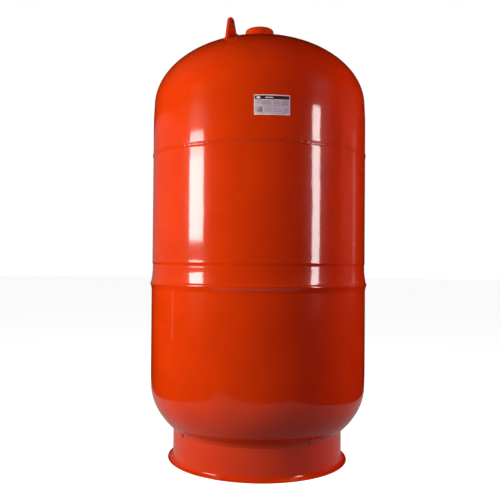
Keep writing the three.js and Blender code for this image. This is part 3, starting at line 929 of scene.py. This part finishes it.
def make_spring():
    """The valve core's spring, which shortens as the pin is pressed."""
    low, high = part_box("valve_core_spring")
    wire, turns, steps, sides = 0.22 * MM, 5, 300, 8
    radius = high.x - wire
    bm = bmesh.new()
    rings = []
    for i in range(steps + 1):
        share = i / steps
        angle = TAU * turns * share
        eased = share + 0.6 * math.sin(TAU * share) / TAU
        level = low.z + wire + (high.z - low.z - 2 * wire) * (2 * share - eased)
        out = polar(1, angle)
        ring = []
        for k in range(sides):
            turn = TAU * k / sides
            place = out * (radius + wire * math.cos(turn)) + Vector((0, 0, level + wire * math.sin(turn)))
            ring.append(bm.verts.new(place))
        rings.append(ring)
    bridge(bm, rings, closed=False)
    spring = finish_mesh("valve_spring_coil", bm, STEEL, VESSEL, ["valve_core_spring"])
    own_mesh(spring)


def make_diaphragm():
    """The rubber bag, hung from its bead, which shortens upwards as water enters."""
    low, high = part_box("diaphragm")
    depth, thick, tangent = BAG_DEPTH, BAG_THICKNESS, low.z + BAG_DEPTH
    radius = VESSEL_RADIUS - WALL - SHELL_TO_BAG
    bead_low = high.z - 14 * MM
    steps = 28

    def bowl(offset):
        out = []
        for i in range(steps + 1):
            angle = math.pi / 2 * i / steps
            out.append(((radius - offset) * math.sin(angle), tangent - (depth - offset) * math.cos(angle)))
        return out

    profile = [
        *bowl(0),
        (radius, bead_low - 6 * MM),
        (high.x, bead_low, 2 * MM),
        (high.x, high.z, 3 * MM),
        (high.x - 16 * MM, high.z, 3 * MM),
        (high.x - 16 * MM, bead_low, 3 * MM),
        (radius - thick, bead_low - 12 * MM, 6 * MM),
        *bowl(thick)[::-1],
    ]
    bag = turned_piece(
        "diaphragm_bag", profile, 144, RUBBER, VESSEL, ["diaphragm"], step=40 * MM
    )
    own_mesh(bag)


make_neck()
make_valve()
make_dust_cap()
make_spring()
make_diaphragm()

# ------------------------ water connection, along +Y

PORT_TURN = Matrix.Translation((0, 0, PORT_LEVEL)) @ Matrix.Rotation(-math.pi / 2, 4, "X")
PORT_BORE = 15.15 * MM
PORT_WELD_LEG = 6 * MM


def lower_head_radius_at(level):
    return LOWER_HEAD_RADIUS * math.sqrt(1 - ((LOWER_TANGENT - level) / HEAD_DEPTH) ** 2)


def make_water_socket():
    inner, face, outer = socket_box[0].y, socket_box[1].y, socket_box[1].x
    threads = thread(PORT_BORE, 0.9 * MM, face - 1.4 * MM, face - 21.4 * MM, 2.3 * MM)
    profile = [
        (PORT_BORE, inner),
        (outer, inner, 0.8 * MM),
        (outer, face, 1.2 * MM),
        (PORT_BORE + 1.0 * MM, face, 0.3 * MM),
        (PORT_BORE, face - 1.0 * MM),
        *threads,
    ]
    turned_piece(
        "water_socket_boss", profile, 128, PAINT, VESSEL, ["water_socket"], turn=PORT_TURN
    )


def make_water_weld():
    """A rippled fillet all round the socket, lying on the lower head."""
    foot = socket_box[1].x
    count, section = 360, 8
    bm = bmesh.new()
    rings = []
    for j in range(count):
        angle = TAU * j / count
        wobble = noise.noise(polar(foot, angle, 0.02) * 130)
        leg = PORT_WELD_LEG * (1 + 0.1 * wobble)
        leg += 0.35 * MM * (abs(math.sin(math.pi * round(TAU * foot / (4 * MM)) * j / count)) - 0.5)

        def on_head(reach, lift):
            x, z = reach * math.cos(angle), PORT_LEVEL + reach * math.sin(angle)
            return (x, math.sqrt(lower_head_radius_at(z) ** 2 - x * x) + lift, z)

        inner = foot - 1.0 * MM
        ring = []
        for k in range(section + 1):
            turn = math.pi / 2 * k / section
            reach = inner + (1.0 * MM + leg) * math.sin(turn) ** 1.2
            ring.append(bm.verts.new(on_head(reach, leg * math.cos(turn) ** 1.2 - 0.4 * MM)))
        ring.append(bm.verts.new(on_head(inner, -1.5 * MM)))
        rings.append(ring)
    bridge(bm, rings, closed=True)
    finish_mesh("water_socket_bead", bm, WELD_PAINT, VESSEL, ["water_socket_weld"])


def make_plug():
    low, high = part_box("transit_plug")
    seal_low, seal_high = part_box("transit_plug_seal")
    rim, top, bottom = high.x, high.y, low.y
    cup, cup_floor = rim - 3 * MM, high.y - 8 * MM
    waist = seal_high.x - 1.9 * MM
    profile = [
        (0, bottom),
        (rim, bottom, 1.0 * MM),
        (rim, seal_low.y - 0.3 * MM, 0.3 * MM),
        (waist, seal_low.y - 0.3 * MM),
        (waist, seal_high.y + 0.3 * MM),
        (rim, seal_high.y + 0.3 * MM, 0.3 * MM),
        (rim, top, 0.6 * MM),
        (cup, top, 0.6 * MM),
        (cup, cup_floor, 1.0 * MM),
        (0, cup_floor),
    ]
    plug = turned_piece(
        "transit_plug_cup", profile, 96, YELLOW_PLASTIC, "plug", ["transit_plug"],
        turn=PORT_TURN,
    )
    bar = bmesh.new()
    height = top - 0.3 * MM - cup_floor + 0.4 * MM
    size = Matrix.Diagonal((2 * cup + 1.2 * MM, 3 * MM, height, 1))
    place = Matrix.Translation((0, 0, cup_floor - 0.4 * MM + height / 2)) @ size
    bmesh.ops.create_cube(bar, size=1, matrix=PORT_TURN @ place)
    bmesh.ops.bevel(bar, geom=bar.edges[:], offset=0.5 * MM, segments=3, affect="EDGES")
    combine(plug, bar, "UNION")
    centre = (seal_low.y + seal_high.y) / 2
    half = (seal_high.y - seal_low.y) / 2
    middle = seal_high.x - half
    ring = []
    for i in range(20):
        turn = TAU * i / 20
        ring.append((middle + half * math.cos(turn), centre + half * math.sin(turn)))
    turned_piece(
        "transit_plug_ring", ring, 96, RUBBER, "plug", ["transit_plug_seal"], turn=PORT_TURN
    )


make_water_socket()
make_water_weld()
make_plug()

# ------------------------ data label

LABEL_FILM = moulded("label_film", (0.54, 0.3, 0.53), 0.35, 0.02)
LABEL_BORDER = moulded("label_border", (0.82, 0.53, 0.8), 0.35, 0.02)
LABEL_HEADER = moulded("label_header", (0.035, 0.006, 0.012), 0.4, 0.02)
LABEL_INK = moulded("label_ink", (0.1, 0.04, 0.09), 0.45, 0.02)

LABEL_WIDTH = 110 * MM
LABEL_BORDER_WIDTH = 1.7 * MM
LABEL_CORNER = 2.0 * MM
HEADER_DROP = 3.2 * MM
HEADER_HEIGHT = 10.5 * MM
HEADER_MARK = (13 * MM, 5.2 * MM, 5.6 * MM)
HEADER_TITLE = (34 * MM, 58 * MM, 5.4 * MM, 1.2 * MM)
# print in mm: left, right, below the top edge, above the bottom edge, pitch, thickness, longest stroke
PRINT_BLOCKS = (
    (9, 17, 19, 34, 3.2, 0.9, 3),
    (21, 53, 18, 32, 3.0, 0.8, 6),
    (31, 53, 33, 8, 2.6, 0.5, 8),
    (59, 80, 18, 9, 4.6, 1.0, 5),
    (84, 106, 18, 26, 3.4, 1.1, 8),
)
RULED_LINES = (8.0, 12.5, 17.0, 21.5)
CODE_PLACE = (10 * MM, 9 * MM)
CODE_CELLS = 12
CODE_CELL = 1.25 * MM


def label_ink(x, z, width, height, words):
    """Which printing covers a spot of the label: 0 film, 1 border, 2 header, 3 ink."""
    if min(x, z, width - x, height - z) < LABEL_BORDER_WIDTH:
        return 1
    header_top = height - HEADER_DROP
    header_low = header_top - HEADER_HEIGHT
    if header_low < z < header_top:
        mark_x, mark_z, mark_size = HEADER_MARK
        left, right, title_z, title_half = HEADER_TITLE
        mark = abs(x - mark_x) * 0.75 + abs(z - (header_low + mark_z)) * 1.3 < mark_size
        title = left < x < right and abs(z - header_low - title_z) < title_half
        return 1 if mark or title else 2
    for x0, x1, z0, z1 in words:
        if x0 < x < x1 and z0 < z < z1:
            return 3
    return 0


def label_words(height):
    """Rows of short strokes that stand for fine print, ruled lines and a square code."""
    draw = random.Random(7)
    strokes = []
    for left, right, drop, low, pitch, thick, longest in PRINT_BLOCKS:
        z = height - drop * MM
        while z > low * MM:
            x = left * MM
            while x < (right - 2) * MM:
                length = draw.uniform(1.5, longest) * MM
                strokes.append((x, min(x + length, right * MM), z - thick * MM, z))
                x += length + draw.uniform(0.8, 1.6) * MM
            z -= pitch * MM
    for level in RULED_LINES:
        strokes.append((81 * MM, 106 * MM, level * MM, (level + 0.5) * MM))
    ends = (0, CODE_CELLS - 1)
    for i in range(CODE_CELLS):
        for j in range(CODE_CELLS):
            if draw.random() < 0.5 or i in ends or j in ends:
                x, z = CODE_PLACE[0] + i * CODE_CELL, CODE_PLACE[1] + j * CODE_CELL
                strokes.append((x, x + CODE_CELL, z, z + CODE_CELL))
    return strokes


def make_label():
    low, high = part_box("data_label")
    height = high.z - low.z
    radius = UPPER_RADIUS + 0.3 * MM
    thickness = 0.4 * MM
    width = LABEL_WIDTH
    columns, lines = 220, 122
    words = label_words(height)
    middle = heading(LABEL_AZIMUTH)
    corner = LABEL_CORNER

    def spot(i, j, depth):
        x, z = width * i / columns, height * j / lines
        angle = middle + (x - width / 2) / radius
        taper = max(0.0, low.z + z - (UPPER_TANGENT - UPPER_TAPER_LENGTH)) * UPPER_TAPER / UPPER_TAPER_LENGTH
        return polar(radius + depth - taper, angle, low.z + z)

    def kept(i, j):
        x, z = width * (i + 0.5) / columns, height * (j + 0.5) / lines
        dx = max(0.0, corner - min(x, width - x))
        dz = max(0.0, corner - min(z, height - z))
        return dx * dx + dz * dz <= corner * corner

    bm = bmesh.new()
    front, back = {}, {}

    def vertex(store, i, j, depth):
        if (i, j) not in store:
            store[i, j] = bm.verts.new(spot(i, j, depth))
        return store[i, j]

    for i in range(columns):
        for j in range(lines):
            if not kept(i, j):
                continue
            ink = label_ink(width * (i + 0.5) / columns, height * (j + 0.5) / lines, width, height, words)
            around = [(i, j), (i + 1, j), (i + 1, j + 1), (i, j + 1)]
            bm.faces.new([vertex(front, a, b, thickness) for a, b in around]).material_index = ink
            bm.faces.new([vertex(back, a, b, 0) for a, b in around[::-1]]).material_index = 1
            for (a, b), (c, d), (p, q) in zip(
                around, around[1:] + around[:1], ((i, j - 1), (i + 1, j), (i, j + 1), (i - 1, j))
            ):
                if 0 <= p < columns and 0 <= q < lines and kept(p, q):
                    continue
                side = [vertex(front, c, d, thickness), vertex(front, a, b, thickness)]
                side += [vertex(back, a, b, 0), vertex(back, c, d, 0)]
                bm.faces.new(side).material_index = 1
    piece = finish_mesh("data_label_sheet", bm, LABEL_FILM, VESSEL, ["data_label"])
    for material in (LABEL_BORDER, LABEL_HEADER, LABEL_INK):
        piece.data.materials.append(material)
    return piece


make_label()

# ------------------------ CAD nodes that are shown as they are

NODE_MATERIALS = {
    "valve_core_barrel": BRASS,
    "valve_core_pin": BRASS,
    "dust_cap_seal": RUBBER,
    "diaphragm_clamp_ring": STEEL,
    "port_guard": STEEL,
}

for node_name, node_material in NODE_MATERIALS.items():
    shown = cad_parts[node_name]
    shown.data.materials.clear()
    shown.data.materials.append(node_material)

# ------------------------ floor, light and camera

CAMERA_LENS = 48.557
CAMERA_SHIFT = 0.0332
CAMERA_PLACE = (0, -2.4054, 0.6831)
CAMERA_YAW_PITCH_ROLL = (-2.09, 1.01, 0.46)
WORLD_AMBIENT = 0.2
WORLD_REFLECTED = 0.001
FLOOR_GLOW = 0.85
PAPER_GLOW = 0.1
# name, azimuth, distance from the axis, level, width, height, watts
MIRRORED_LIGHTS = (
    ("left_box", -61.7, 2.11, 1.055, 0.6, 0.5, 17.5),
    ("left_box_top", -61.7, 2.11, 1.37, 0.56, 0.14, 3.4),
    ("left_wall", -117.6, 2.6, 1.11, 5.6, 1.18, 3),
    ("left_stand", -92.3, 2.24, 0.37, 0.1, 0.33, 0.05),
    ("right_strip", 56.3, 2.22, 1.13, 0.33, 0.98, 15.6),
    ("right_edge", 112.6, 2.485, 1.12, 0.18, 0.86, 0.22),
)
# as above, then the level aimed at and the colour; the left one is tinted to suit the photo's white balance
FILL_LIGHTS = (
    ("left_fill", -60, 2.6, 1.2, 0.8, 1.6, 80, 1.2, (1.02, 1.75, 0.8)),
    ("right_fill", 65, 2.6, 2.0, 0.8, 1.6, 24, 1.2, (1, 1, 1)),
    ("back_fill", 110, 2.6, 1.2, 0.8, 1.6, 40, 1.2, (1, 1, 1)),
    ("top_fill", -115, 1.9, 2.6, 1.5, 1.5, 11, 1.2, (1, 1, 1)),
)
FLOOR_RADIUS = 28.0
FLOOR_SIDES = 96
SWEEP_OUTLINE = (
    (-0.92, -1.12), (-0.86, -1.28), (-0.7, -1.36), (0.3, -1.32), (0.7, -1.2), (0.86, -1.0),
    (0.86, 1.3), (-0.92, 1.3),
)


def flat_sheet(name, outline, material):
    """A level sheet just under the vessel, with its outline as (x, y) points."""
    bm = bmesh.new()
    bm.faces.new([bm.verts.new((x, y, 0)) for x, y in outline])
    sheet = add_object(name, bm)
    sheet.data.materials.append(material)
    sheet.location.z = -0.5 * MM
    sheet.visible_diffuse = False
    return sheet


def glowing(name, albedo, glow):
    material = new_material(name, (albedo, albedo, albedo), 0.8)
    shader = material.node_tree.nodes["Principled BSDF"]
    shader.inputs["Emission Color"].default_value = (1, 1, 1, 1)
    shader.inputs["Emission Strength"].default_value = glow
    return material


def make_floor():
    """A pale floor, of which the paint mirrors only the sweep of paper close to the vessel."""
    pale = glowing("studio_floor", 0.5, FLOOR_GLOW)
    pale.node_tree.nodes["Principled BSDF"].inputs["Specular IOR Level"].default_value = 0.0
    outline = [polar(FLOOR_RADIUS, TAU * i / FLOOR_SIDES).xy for i in range(FLOOR_SIDES)]
    floor = flat_sheet("studio_floor", outline, pale)
    floor.visible_glossy = False
    sweep = flat_sheet("studio_paper", SWEEP_OUTLINE, glowing("studio_paper", 0.8, PAPER_GLOW))
    sweep.visible_camera = False
    sweep.visible_shadow = False


def area_light(name, azimuth, distance, level, width, height, power, glossy=True, aim_level=None):
    """A rectangular soft light standing at an azimuth from the front, aimed level at the vessel."""
    data = bpy.data.lights.new(name, "AREA")
    data.shape = "RECTANGLE"
    data.size = width
    data.size_y = height
    data.energy = power
    lamp = bpy.data.objects.new(name, data)
    lamp.location = polar(distance, heading(azimuth), level)
    aim = Vector((0, 0, level if aim_level is None else aim_level)) - lamp.location
    lamp.rotation_euler = aim.to_track_quat("-Z", "Y").to_euler()
    lamp.visible_camera = False
    lamp.visible_glossy = glossy
    bpy.context.scene.collection.objects.link(lamp)
    return lamp


def make_lights():
    """Soft boxes that are only seen as reflections, and broad fills that only light the paint."""
    for row in MIRRORED_LIGHTS:
        area_light(*row).visible_diffuse = False
    for *row, aim_level, color in FILL_LIGHTS:
        lamp = area_light(*row, glossy=False, aim_level=aim_level)
        lamp.data.color = color


def make_world():
    """White to the camera, nearly black in reflections and dim for everything else."""
    world = bpy.data.worlds.new("studio")
    bpy.context.scene.world = world
    world.use_nodes = True
    tree = world.node_tree
    tree.nodes.clear()
    out = tree.nodes.new("ShaderNodeOutputWorld")
    path = tree.nodes.new("ShaderNodeLightPath")

    def background(name, value):
        made = tree.nodes.new("ShaderNodeBackground")
        made.name = name
        made.inputs["Color"].default_value = (value, value, value, 1)
        return made

    def choose(ray, otherwise, then):
        mix = tree.nodes.new("ShaderNodeMixShader")
        tree.links.new(path.outputs[ray], mix.inputs[0])
        tree.links.new(otherwise.outputs[0], mix.inputs[1])
        tree.links.new(then.outputs[0], mix.inputs[2])
        return mix

    dim = choose("Is Glossy Ray", background("ambient", WORLD_AMBIENT), background("dark", WORLD_REFLECTED))
    seen = choose("Is Camera Ray", dim, background("white", 1.0))
    tree.links.new(seen.outputs[0], out.inputs["Surface"])


def make_camera():
    data = bpy.data.cameras.new("camera")
    data.sensor_width = 36
    data.lens = CAMERA_LENS
    data.shift_x = CAMERA_SHIFT
    camera = bpy.data.objects.new("camera", data)
    yaw, pitch, roll = (math.radians(a) for a in CAMERA_YAW_PITCH_ROLL)
    forward = Vector((math.sin(yaw) * math.cos(pitch), math.cos(yaw) * math.cos(pitch), math.sin(pitch)))
    right = Vector((math.cos(yaw), -math.sin(yaw), 0))
    up = right.cross(forward)
    rolled_right = right * math.cos(roll) + up * math.sin(roll)
    rolled_up = up * math.cos(roll) - right * math.sin(roll)
    turn = Matrix((rolled_right, rolled_up, -forward)).transposed()
    camera.matrix_world = Matrix.Translation(CAMERA_PLACE) @ turn.to_4x4()
    bpy.context.scene.collection.objects.link(camera)
    bpy.context.scene.camera = camera


make_floor()
make_lights()
make_world()
make_camera()
bpy.context.scene.view_settings.view_transform = "Standard"
